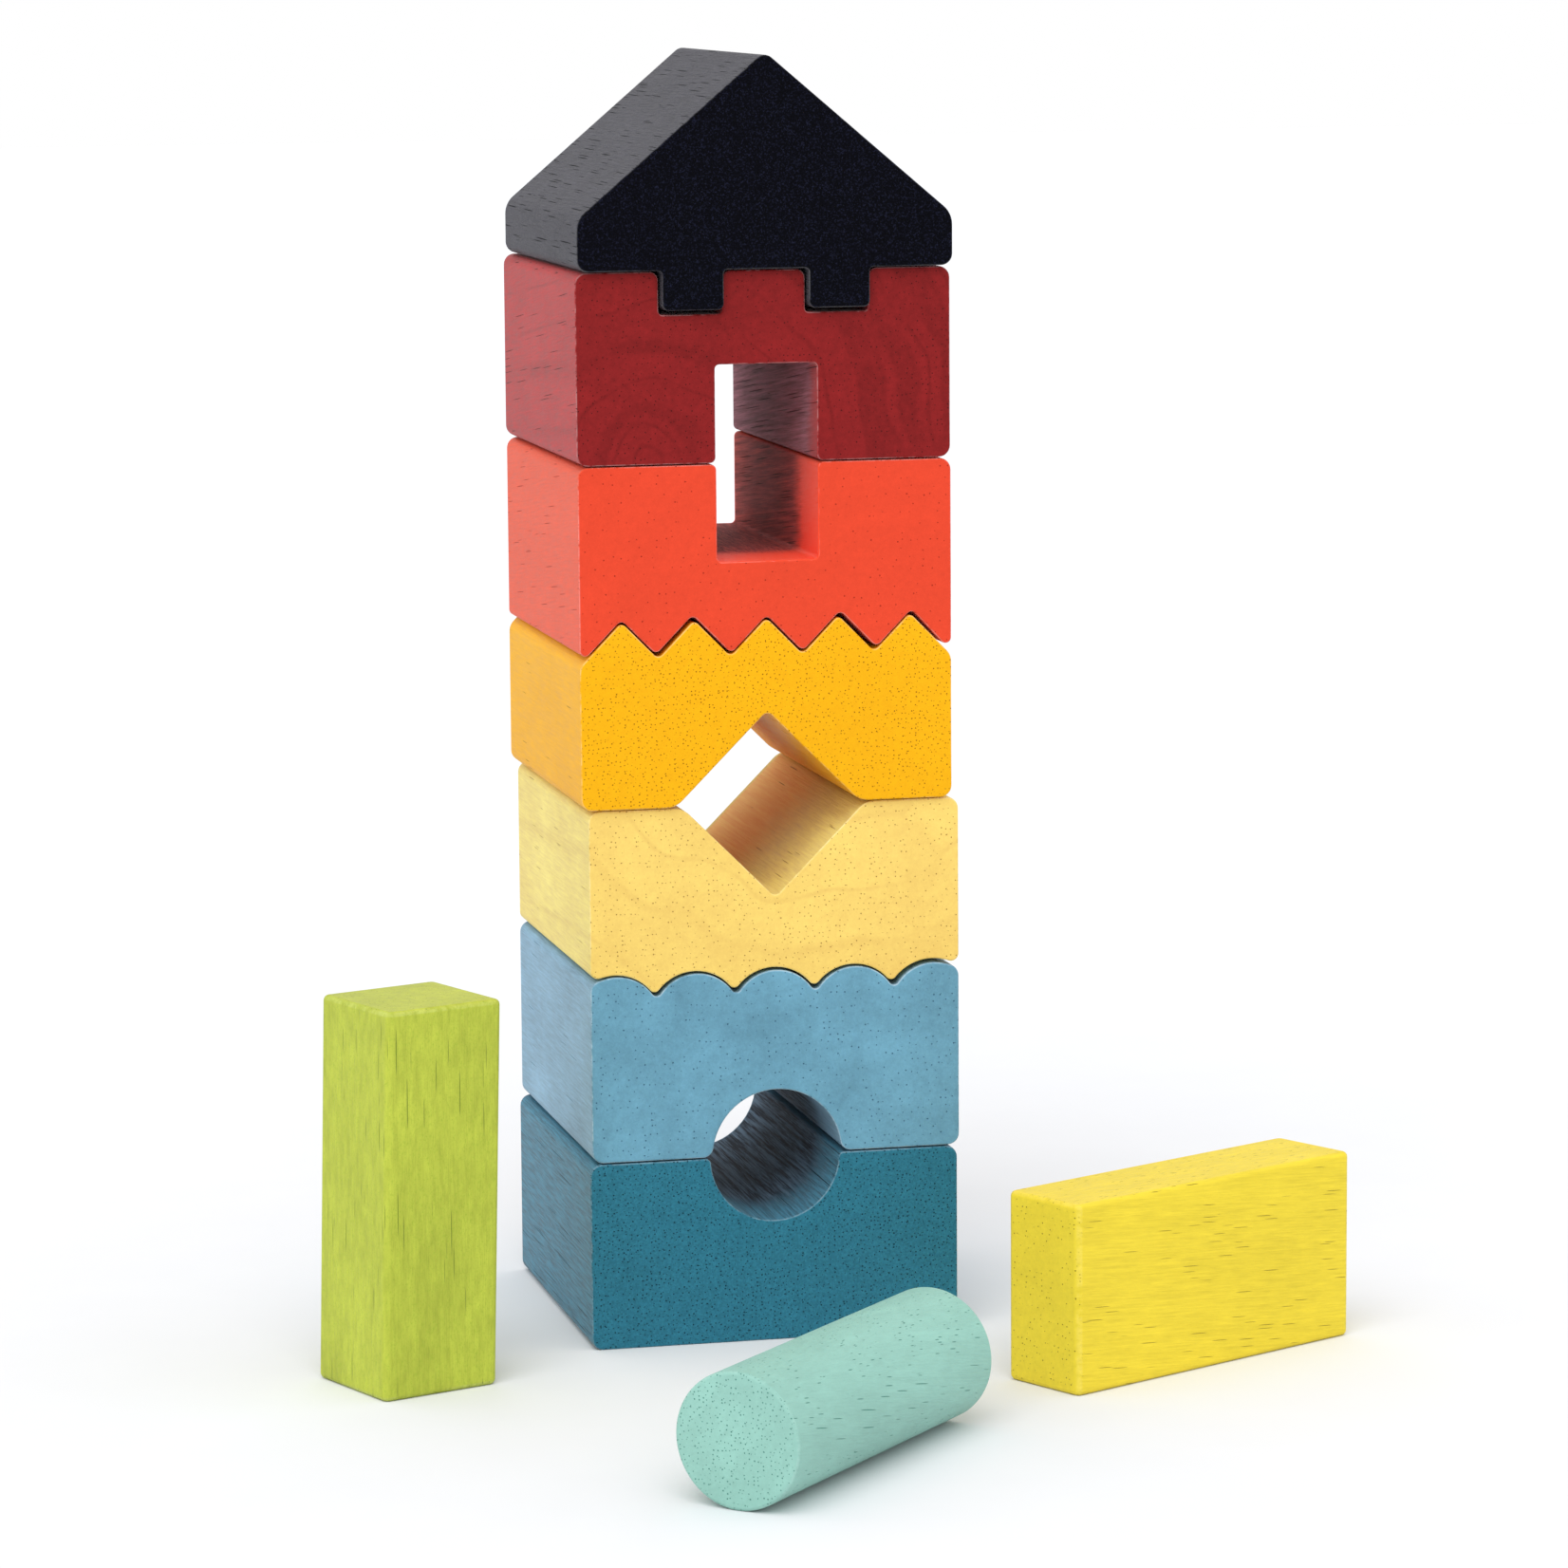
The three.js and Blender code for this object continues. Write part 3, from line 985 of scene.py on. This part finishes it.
# %% Saw the amber block
amber_paint = wood_of(
    "amber_zigzag_block",
    "amber_paint",
    rgb(249, 171, 13),
    dots={"cell": 0.95, "radius": 0.14, "share": 0.8},
    dashes={"share": 0.4, "length": 24.0},
    pore_colour=rgb(140, 88, 14),
    cloud=0.35,
    mottle=0.3,
    rings=0.1,
    fibre=0.8,
    sheen=0.03,
    hole={
        **DIAMOND_STAIN,
        "middle": (0.0, from_middle("amber_zigzag_block", amber_low.z)),
        "dark": rgb(250, 148, 44),
        "light": rgb(255, 212, 96),
    },
    seed=41.0,
)
saw_block(
    "amber_block",
    notched_bottom(amber_low.z, half_diamond(amber_low.z))
    + [corner(HALF, shoulder, SHOULDER_ROUND), *teeth(), corner(-HALF, shoulder, SHOULDER_ROUND)],
    amber_paint,
    "amber_zigzag_block",
    "amber",
)

# %% [markdown]
# ## The upright slot
#
# A square notch in the red block and another in the crimson one make a tall slot for the flat
# brick. It was sawn a little off the middle of both.

# %% Half a slot
UPPER_GRAIN_TILT = radians(-7.0)
SLOT_WIDTH = 21.8
SLOT_HEIGHT = 41.0
SLOT_OFFSET = 0.4
SLOT_CORNER_ROUND = 1.0
SLOT_LIP = 1.2
red_top = measured("red_slot_block")[1].z


def half_slot(z):
    right = SLOT_OFFSET + SLOT_WIDTH / 2
    left = SLOT_OFFSET - SLOT_WIDTH / 2
    floor = z - SLOT_HEIGHT / 2
    return [
        corner(right, z, SLOT_LIP),
        corner(right, floor, SLOT_CORNER_ROUND),
        corner(left, floor, SLOT_CORNER_ROUND),
        corner(left, z, SLOT_LIP),
    ]


SLOT_STAIN = {
    "shape": "slot",
    "reach": 0.0,
    "half_width": SLOT_WIDTH / 2,
    "half_height": SLOT_HEIGHT / 2,
    "streaks": (0.2, 0.85),
}
print("slot", SLOT_WIDTH, "x", SLOT_HEIGHT, "mm")

# %% [markdown]
# The red paint reaches well into the slot and ends there in a soft line. The grain of this block
# and of the next one falls a little towards the back. The slack of every flank is listed from
# right to left, and the block's two lower corners follow the outermost ones.

# %% Saw the red block
FLANK_SLACKS = [(0.85, 0.3), (1.0, 0.4), (0.45, 0.35), (0.55, 1.0), (0.35, 0.4)]
right_shoulder = shoulder + FLANK_SLACKS[0][0] / 2 * stretch
left_shoulder = shoulder + FLANK_SLACKS[-1][1] * stretch
red_paint = wood_of(
    "red_slot_block",
    "red_paint",
    rgb(221, 69, 43),
    dots={"cell": 1.9, "radius": 0.16, "share": 0.45},
    dashes={"length": 30.0, "share": 0.8, "radius": 0.12},
    pore_colour=rgb(168, 44, 26),
    cloud=0.35,
    mottle=0.35,
    rings=0.1,
    fibre=0.8,
    hole={
        **SLOT_STAIN,
        "middle": (SLOT_OFFSET, from_middle("red_slot_block", red_top)),
        "fade": (13.0, 24.0),
        "dark": rgb(112, 34, 31),
        "light": rgb(220, 100, 92),
        # painted bounce light: a brighter red on the slot walls near the front
        "paint": rgb(255, 84, 53),
    },
    side=(rgb(236, 100, 66), 0.5),
    sheen=0.07,
    tilt=UPPER_GRAIN_TILT,
    seed=53.0,
)
saw_block(
    "red_block",
    [
        corner(-HALF, left_shoulder, TOOTH_ROUND),
        *reversed(notches(FLANK_SLACKS)),
        corner(HALF, right_shoulder, TOOTH_ROUND),
    ]
    + flat_top(red_top, half_slot(red_top)),
    red_paint,
    "red_slot_block",
    "red",
)

# %% [markdown]
# ## Battlements and roof
#
# The roof has two tabs that hang into two notches of the crimson block. The roof rests on the
# battlements between them, so there is air below the tabs. Each tab is a little off the middle of
# its notch, which shows as a wide gap on one side and a narrow one on the other.

# %% Tabs and notches
TAB_WIDTH = 13.0
TAB_LENGTH = 8.0
TAB_CENTRE = 15.6
TAB_SIDE_GAP = 0.3
TAB_END_GAP = 1.0
crimson_low, crimson_high = measured("crimson_battlement_block")
crimson_top = crimson_high.z


def tab_pair(z, side_gap, end_gap, root_round, end_round, shift=0.0):
    half = TAB_WIDTH / 2 + side_gap
    floor = z - TAB_LENGTH - end_gap
    edge = []
    for x in (TAB_CENTRE + shift, -TAB_CENTRE + shift):
        edge += [
            corner(x + half, z, root_round),
            corner(x + half, floor, end_round),
            corner(x - half, floor, end_round),
            corner(x - half, z, root_round),
        ]
    return edge


print("two tabs of", TAB_WIDTH, "x", TAB_LENGTH, "mm")

# %% [markdown]
# The crimson paint is thin over strongly figured wood, so its rings are the plainest of all.
# Their middle lies inside the block, low on the left, which shows as nested arcs there and
# sweeping ones on the right.

# %% Saw the crimson block
crimson_paint = wood_of(
    "crimson_battlement_block",
    "crimson_paint",
    rgb(130, 28, 29),
    dots={"cell": 1.1, "radius": 0.14, "share": 0.5},
    dashes={"share": 1.0, "length": 40.0, "radius": 0.12},
    pore_colour=rgb(74, 16, 18),
    cloud=0.8,
    mottle=1.0,
    rings=0.75,
    ring_width=8.0,
    pith=(-25.0, -24.0),
    fibre=1.4,
    hole={
        **SLOT_STAIN,
        "middle": (SLOT_OFFSET, from_middle("crimson_battlement_block", crimson_low.z)),
        "fade": (2.0, 10.0),
        "dark": rgb(106, 60, 68),
        "light": rgb(208, 142, 156),
    },
    side=(rgb(214, 56, 58), 0.4),
    tilt=UPPER_GRAIN_TILT,
    seed=67.0,
)
saw_block(
    "crimson_block",
    notched_bottom(crimson_low.z, half_slot(crimson_low.z))
    + flat_top(crimson_top, tab_pair(crimson_top, TAB_SIDE_GAP, TAB_END_GAP, 1.8, 0.9)),
    crimson_paint,
    "crimson_battlement_block",
    "crimson",
)

# %% [markdown]
# The roof is a gable with rounded eaves and a tighter ridge. Its black hides the wood from the
# front, where only fine blue-grey specks show. The slopes and sides look grey, since light rakes
# over their open grain, so the bump is deeper here and the sides carry a painted grey that
# stands in for that raking light and sheen.

# %% Saw the roof
EAVE_HEIGHT = 11.1
EAVE_ROUND = 5.0
RIDGE_ROUND = 2.4
ROOF_HEIGHT = 45.1
black_paint = wood_of(
    "black_roof_block",
    "black_paint",
    rgb(3, 3, 9),
    dots={"cell": 1.2, "radius": 0.18, "share": 0.4},
    dashes={"cell": 0.5, "share": 1.0, "length": 24.0, "radius": 0.12},
    pore_colour=rgb(2, 2, 3),
    cloud=0.6,
    mottle=1.0,
    rings=0.1,
    fibre=2.0,
    specks=(rgb(36, 39, 62), 0.6),
    wear=0.1,
    # painted sheen: a grey on the sides that stands in for light raking over the open grain
    side=(rgb(73, 72, 78), 1.0),
    sheen=0.06,
    ior=1.12,
    relief=4.0,
    seed=79.0,
)
roof_seat = crimson_top + SEAM
roof_bottom = list(reversed(flat_top(roof_seat, tab_pair(roof_seat, 0.0, SEAM, 0.9, 1.3, 0.1))))
saw_block(
    "black_roof",
    roof_bottom
    + [
        corner(HALF, crimson_top + EAVE_HEIGHT, EAVE_ROUND),
        corner(0.0, crimson_top + ROOF_HEIGHT, RIDGE_ROUND),
        corner(-HALF, crimson_top + EAVE_HEIGHT, EAVE_ROUND),
    ],
    black_paint,
    "black_roof_block",
    "roof",
)

# %% [markdown]
# ## The loose pieces
#
# A rod, a square bar and a flat brick fit the three holes. They come from the same rule, with a
# circle or a rectangle for an outline, and their grain runs along their length or close to it.
# The rod is drawn standing at the origin, and one matrix lays it down and turns it.

# %% The mint rod
ROD_STEPS = 96
ROD_RIM = 0.8
rod_low, rod_high = measured("mint_round_rod")
ROD_TURN = radians(47.5)
ROD_GRAIN_TILT = radians(-12.0)
ROD_LENGTH = 80.0
rod_radius = (rod_high.z - rod_low.z) / 2
rod_middle = (rod_low + rod_high) / 2
mint_paint = painted_wood(
    "mint_paint",
    rgb(144, 191, 179),
    rod_middle,
    ROD_LENGTH / 2,
    turn=(0.0, 0.0, ROD_TURN - pi / 2),
    tilt=ROD_GRAIN_TILT,
    dots={"cell": 1.0, "radius": 0.15, "share": 0.8},
    dashes={"cell": 0.5, "length": 24.0, "radius": 0.09, "share": 0.9},
    wear=0.1,
    pore_colour=rgb(72, 134, 122),
    cloud=0.6,
    mottle=0.4,
    rings=0.15,
    fibre=0.3,
    sheen=0.08,
    seed=97.0,
)
lying = (
    Matrix.Translation(rod_middle * MM)
    @ Matrix.Rotation(ROD_TURN, 4, "Z")
    @ Matrix.Rotation(pi / 2, 4, "Y")
    @ Matrix.Translation((0.0, 0.0, -ROD_LENGTH / 2 * MM))
)
angles = [2 * pi * i / ROD_STEPS for i in range(ROD_STEPS)]
circle = [corner(rod_radius * cos(a), rod_radius * sin(a), 0.0) for a in angles]
sawn("mint_rod", circle, ROD_LENGTH, ROD_RIM, lying, mint_paint, "mint_round_rod", "rod")

# %% [markdown]
# The bar and the brick share one rule for their outline, a rectangle with rounded corners. The
# bar's ends are sawn a little out of square, so it leans: a shear, not a turn, keeps its ends
# level. Its green is mottled and finely speckled.

# %% Rectangles for the bar and the brick
STICK_ROUND = 1.5
STICK_RIM = 1.15  # less than the rounding, so that the rim never turns back on itself


def rectangle(width, thickness):
    x, y = width / 2, thickness / 2
    return [corner(cx, cy, STICK_ROUND) for cx, cy in ((-x, -y), (x, -y), (x, y), (-x, y))]


print("long edges rounded by", STICK_ROUND, "mm and end rims by", STICK_RIM, "mm")


# %% The green bar
bar_low, bar_high = measured("green_square_bar")
BAR_TURN = radians(21.4)
BAR_LEAN = radians(1.5)
BAR_WIDTH = 27.2
bar_length = bar_high.z - bar_low.z
bar_shift = bar_length * tan(BAR_LEAN)
bar_foot = (bar_low + bar_high) / 2
bar_foot -= Vector((bar_shift / 2, 0, bar_foot.z))
green_paint = painted_wood(
    "green_paint",
    rgb(178, 188, 70),
    bar_foot + Vector((bar_shift / 2, 0, bar_length / 2)),
    bar_length / 2,
    turn=(pi / 2, 0.0, BAR_TURN),
    dots={"cell": 1.4, "radius": 0.16, "share": 0.5},
    dashes={"length": 34.0, "share": 0.6},
    wear=0.1,
    pore_colour=rgb(112, 130, 40),
    cloud=0.9,
    mottle=1.0,
    rings=0.15,
    fibre=0.5,
    specks=(rgb(136, 166, 48), 0.45),
    sheen=0.1,
    seed=109.0,
)
lean = Matrix.Identity(4)
lean[0][2] = tan(BAR_LEAN)
standing = Matrix.Translation(bar_foot * MM) @ lean @ Matrix.Rotation(BAR_TURN, 4, "Z")
sawn(
    "green_bar",
    rectangle(BAR_WIDTH, BAR_WIDTH),
    bar_length,
    STICK_RIM,
    standing,
    green_paint,
    "green_square_bar",
    "bar",
)

# %% [markdown]
# The brick stands on its long narrow side. It is drawn as seen from above, so it is sawn upwards
# like the bar, but its grain lies along its length. Its thin yellow shows the longest run of
# plain side grain, with many short fine dashes.

# %% The yellow brick
brick_low, brick_high = measured("yellow_flat_brick")
BRICK_TURN = radians(27.7)
BRICK_GRAIN_TILT = radians(-6.0)
BRICK_LENGTH = 80.0
BRICK_THICKNESS = 21.0
brick_height = brick_high.z - brick_low.z
brick_middle = (brick_low + brick_high) / 2
yellow_paint = painted_wood(
    "yellow_paint",
    rgb(227, 204, 59),
    brick_middle,
    BRICK_LENGTH / 2,
    turn=(0.0, 0.0, BRICK_TURN - pi / 2),
    tilt=BRICK_GRAIN_TILT,
    dots={"cell": 1.2, "radius": 0.15, "share": 0.4},
    dashes={"cell": 0.47, "share": 1.0, "length": 20.0, "radius": 0.08},
    wear=0.08,
    pore_colour=rgb(120, 98, 16),
    cloud=0.35,
    mottle=0.4,
    rings=0.15,
    fibre=0.7,
    sheen=0.1,
    seed=127.0,
)
on_its_side = (
    Matrix.Translation((brick_middle.x * MM, brick_middle.y * MM, brick_low.z * MM))
    @ Matrix.Rotation(BRICK_TURN, 4, "Z")
)
sawn(
    "yellow_brick",
    rectangle(BRICK_LENGTH, BRICK_THICKNESS),
    brick_height,
    STICK_RIM,
    on_its_side,
    yellow_paint,
    "yellow_flat_brick",
    "brick",
)

# %% [markdown]
# ## Floor, light and camera
#
# The toy stands on a plain pale floor in soft light. A white surround lights it from all round,
# and one very broad lamp from above and in front gives the tops their brightness and the floor
# its faint shadows. The camera looks down a little from the front left with a long lens.

# %% The floor
FLOOR_SIZE = 14.0
FLOOR_GRAIN = 40.0
FLOOR_DARK = (0.765, 0.777, 0.8, 1.0)
FLOOR_LIGHT = (0.785, 0.797, 0.82, 1.0)


def floor_paint():
    material, nodes = blank_material("floor_white")
    where = nodes.add("ShaderNodeTexCoord")["Object"]
    tone = nodes.noise(where, FLOOR_GRAIN, 2.0)
    colour = nodes.mix(tone, FLOOR_DARK, FLOOR_LIGHT)
    shader = nodes.add("ShaderNodeBsdfDiffuse", None, {"Color": colour})["BSDF"]
    nodes.add("ShaderNodeOutputMaterial", None, {"Surface": shader})
    return material


floor_mesh = bpy.data.meshes.new("floor")
signs = ((-1, -1), (1, -1), (1, 1), (-1, 1))
corners = [(FLOOR_SIZE / 2 * across, FLOOR_SIZE / 2 * along, 0.0) for across, along in signs]
floor_mesh.from_pydata(corners, [], [(0, 1, 2, 3)])
floor_mesh.materials.append(floor_paint())
floor = bpy.data.objects.new("floor", floor_mesh)
bpy.context.scene.collection.objects.link(floor)
print("floor", FLOOR_SIZE, "m wide")

# %% The lights
scene = bpy.context.scene
world = bpy.data.worlds.new("white surround")
world.use_nodes = True
surround = world.node_tree.nodes["Background"].inputs
surround["Color"].default_value = (1.0, 1.0, 1.0, 1.0)
surround["Strength"].default_value = 1.0
scene.world = world
scene.view_settings.view_transform = "Standard"


def soft_sun(name, towards, strength, spread):
    """A far, very broad lamp: it lights the whole floor evenly and its shadows have no edge."""
    light = bpy.data.lights.new(name, "SUN")
    light.energy = strength
    light.angle = radians(spread)
    lamp = bpy.data.objects.new(name, light)
    lamp.rotation_euler = Vector(towards).to_track_quat("-Z", "Y").to_euler()
    scene.collection.objects.link(lamp)
    return lamp


overhead = soft_sun("overhead", towards=(0.35, 0.75, -1.0), strength=1.35, spread=50.0)
lamp = overhead.data
print(f"one lamp of {lamp.energy:.2f} W/m2, {degrees(lamp.angle):.0f} degrees wide")

# %% The camera
SENSOR_WIDTH = 36.0
LENS = 135.68
CAMERA_PLACE = (-0.27887, -1.23950, 0.29881)
CAMERA_TURN = radians(-13.2006)
CAMERA_DIP = radians(8.2702)
CAMERA_ROLL = radians(-0.4108)
TOWER_MIDDLE = Vector((0, 0, 0.14))

camera = bpy.data.objects.new("camera", bpy.data.cameras.new("camera"))
scene.collection.objects.link(camera)
camera.data.sensor_width = SENSOR_WIDTH
camera.data.lens = LENS
camera.location = CAMERA_PLACE
turned = Matrix.Rotation(CAMERA_TURN, 4, "Z")
tipped = Matrix.Rotation(pi / 2 - CAMERA_DIP, 4, "X")
rolled = Matrix.Rotation(CAMERA_ROLL, 4, "Z")
camera.rotation_euler = (turned @ tipped @ rolled).to_euler()
scene.camera = camera
print("camera", round((camera.location - TOWER_MIDDLE).length, 2), "m from the tower")
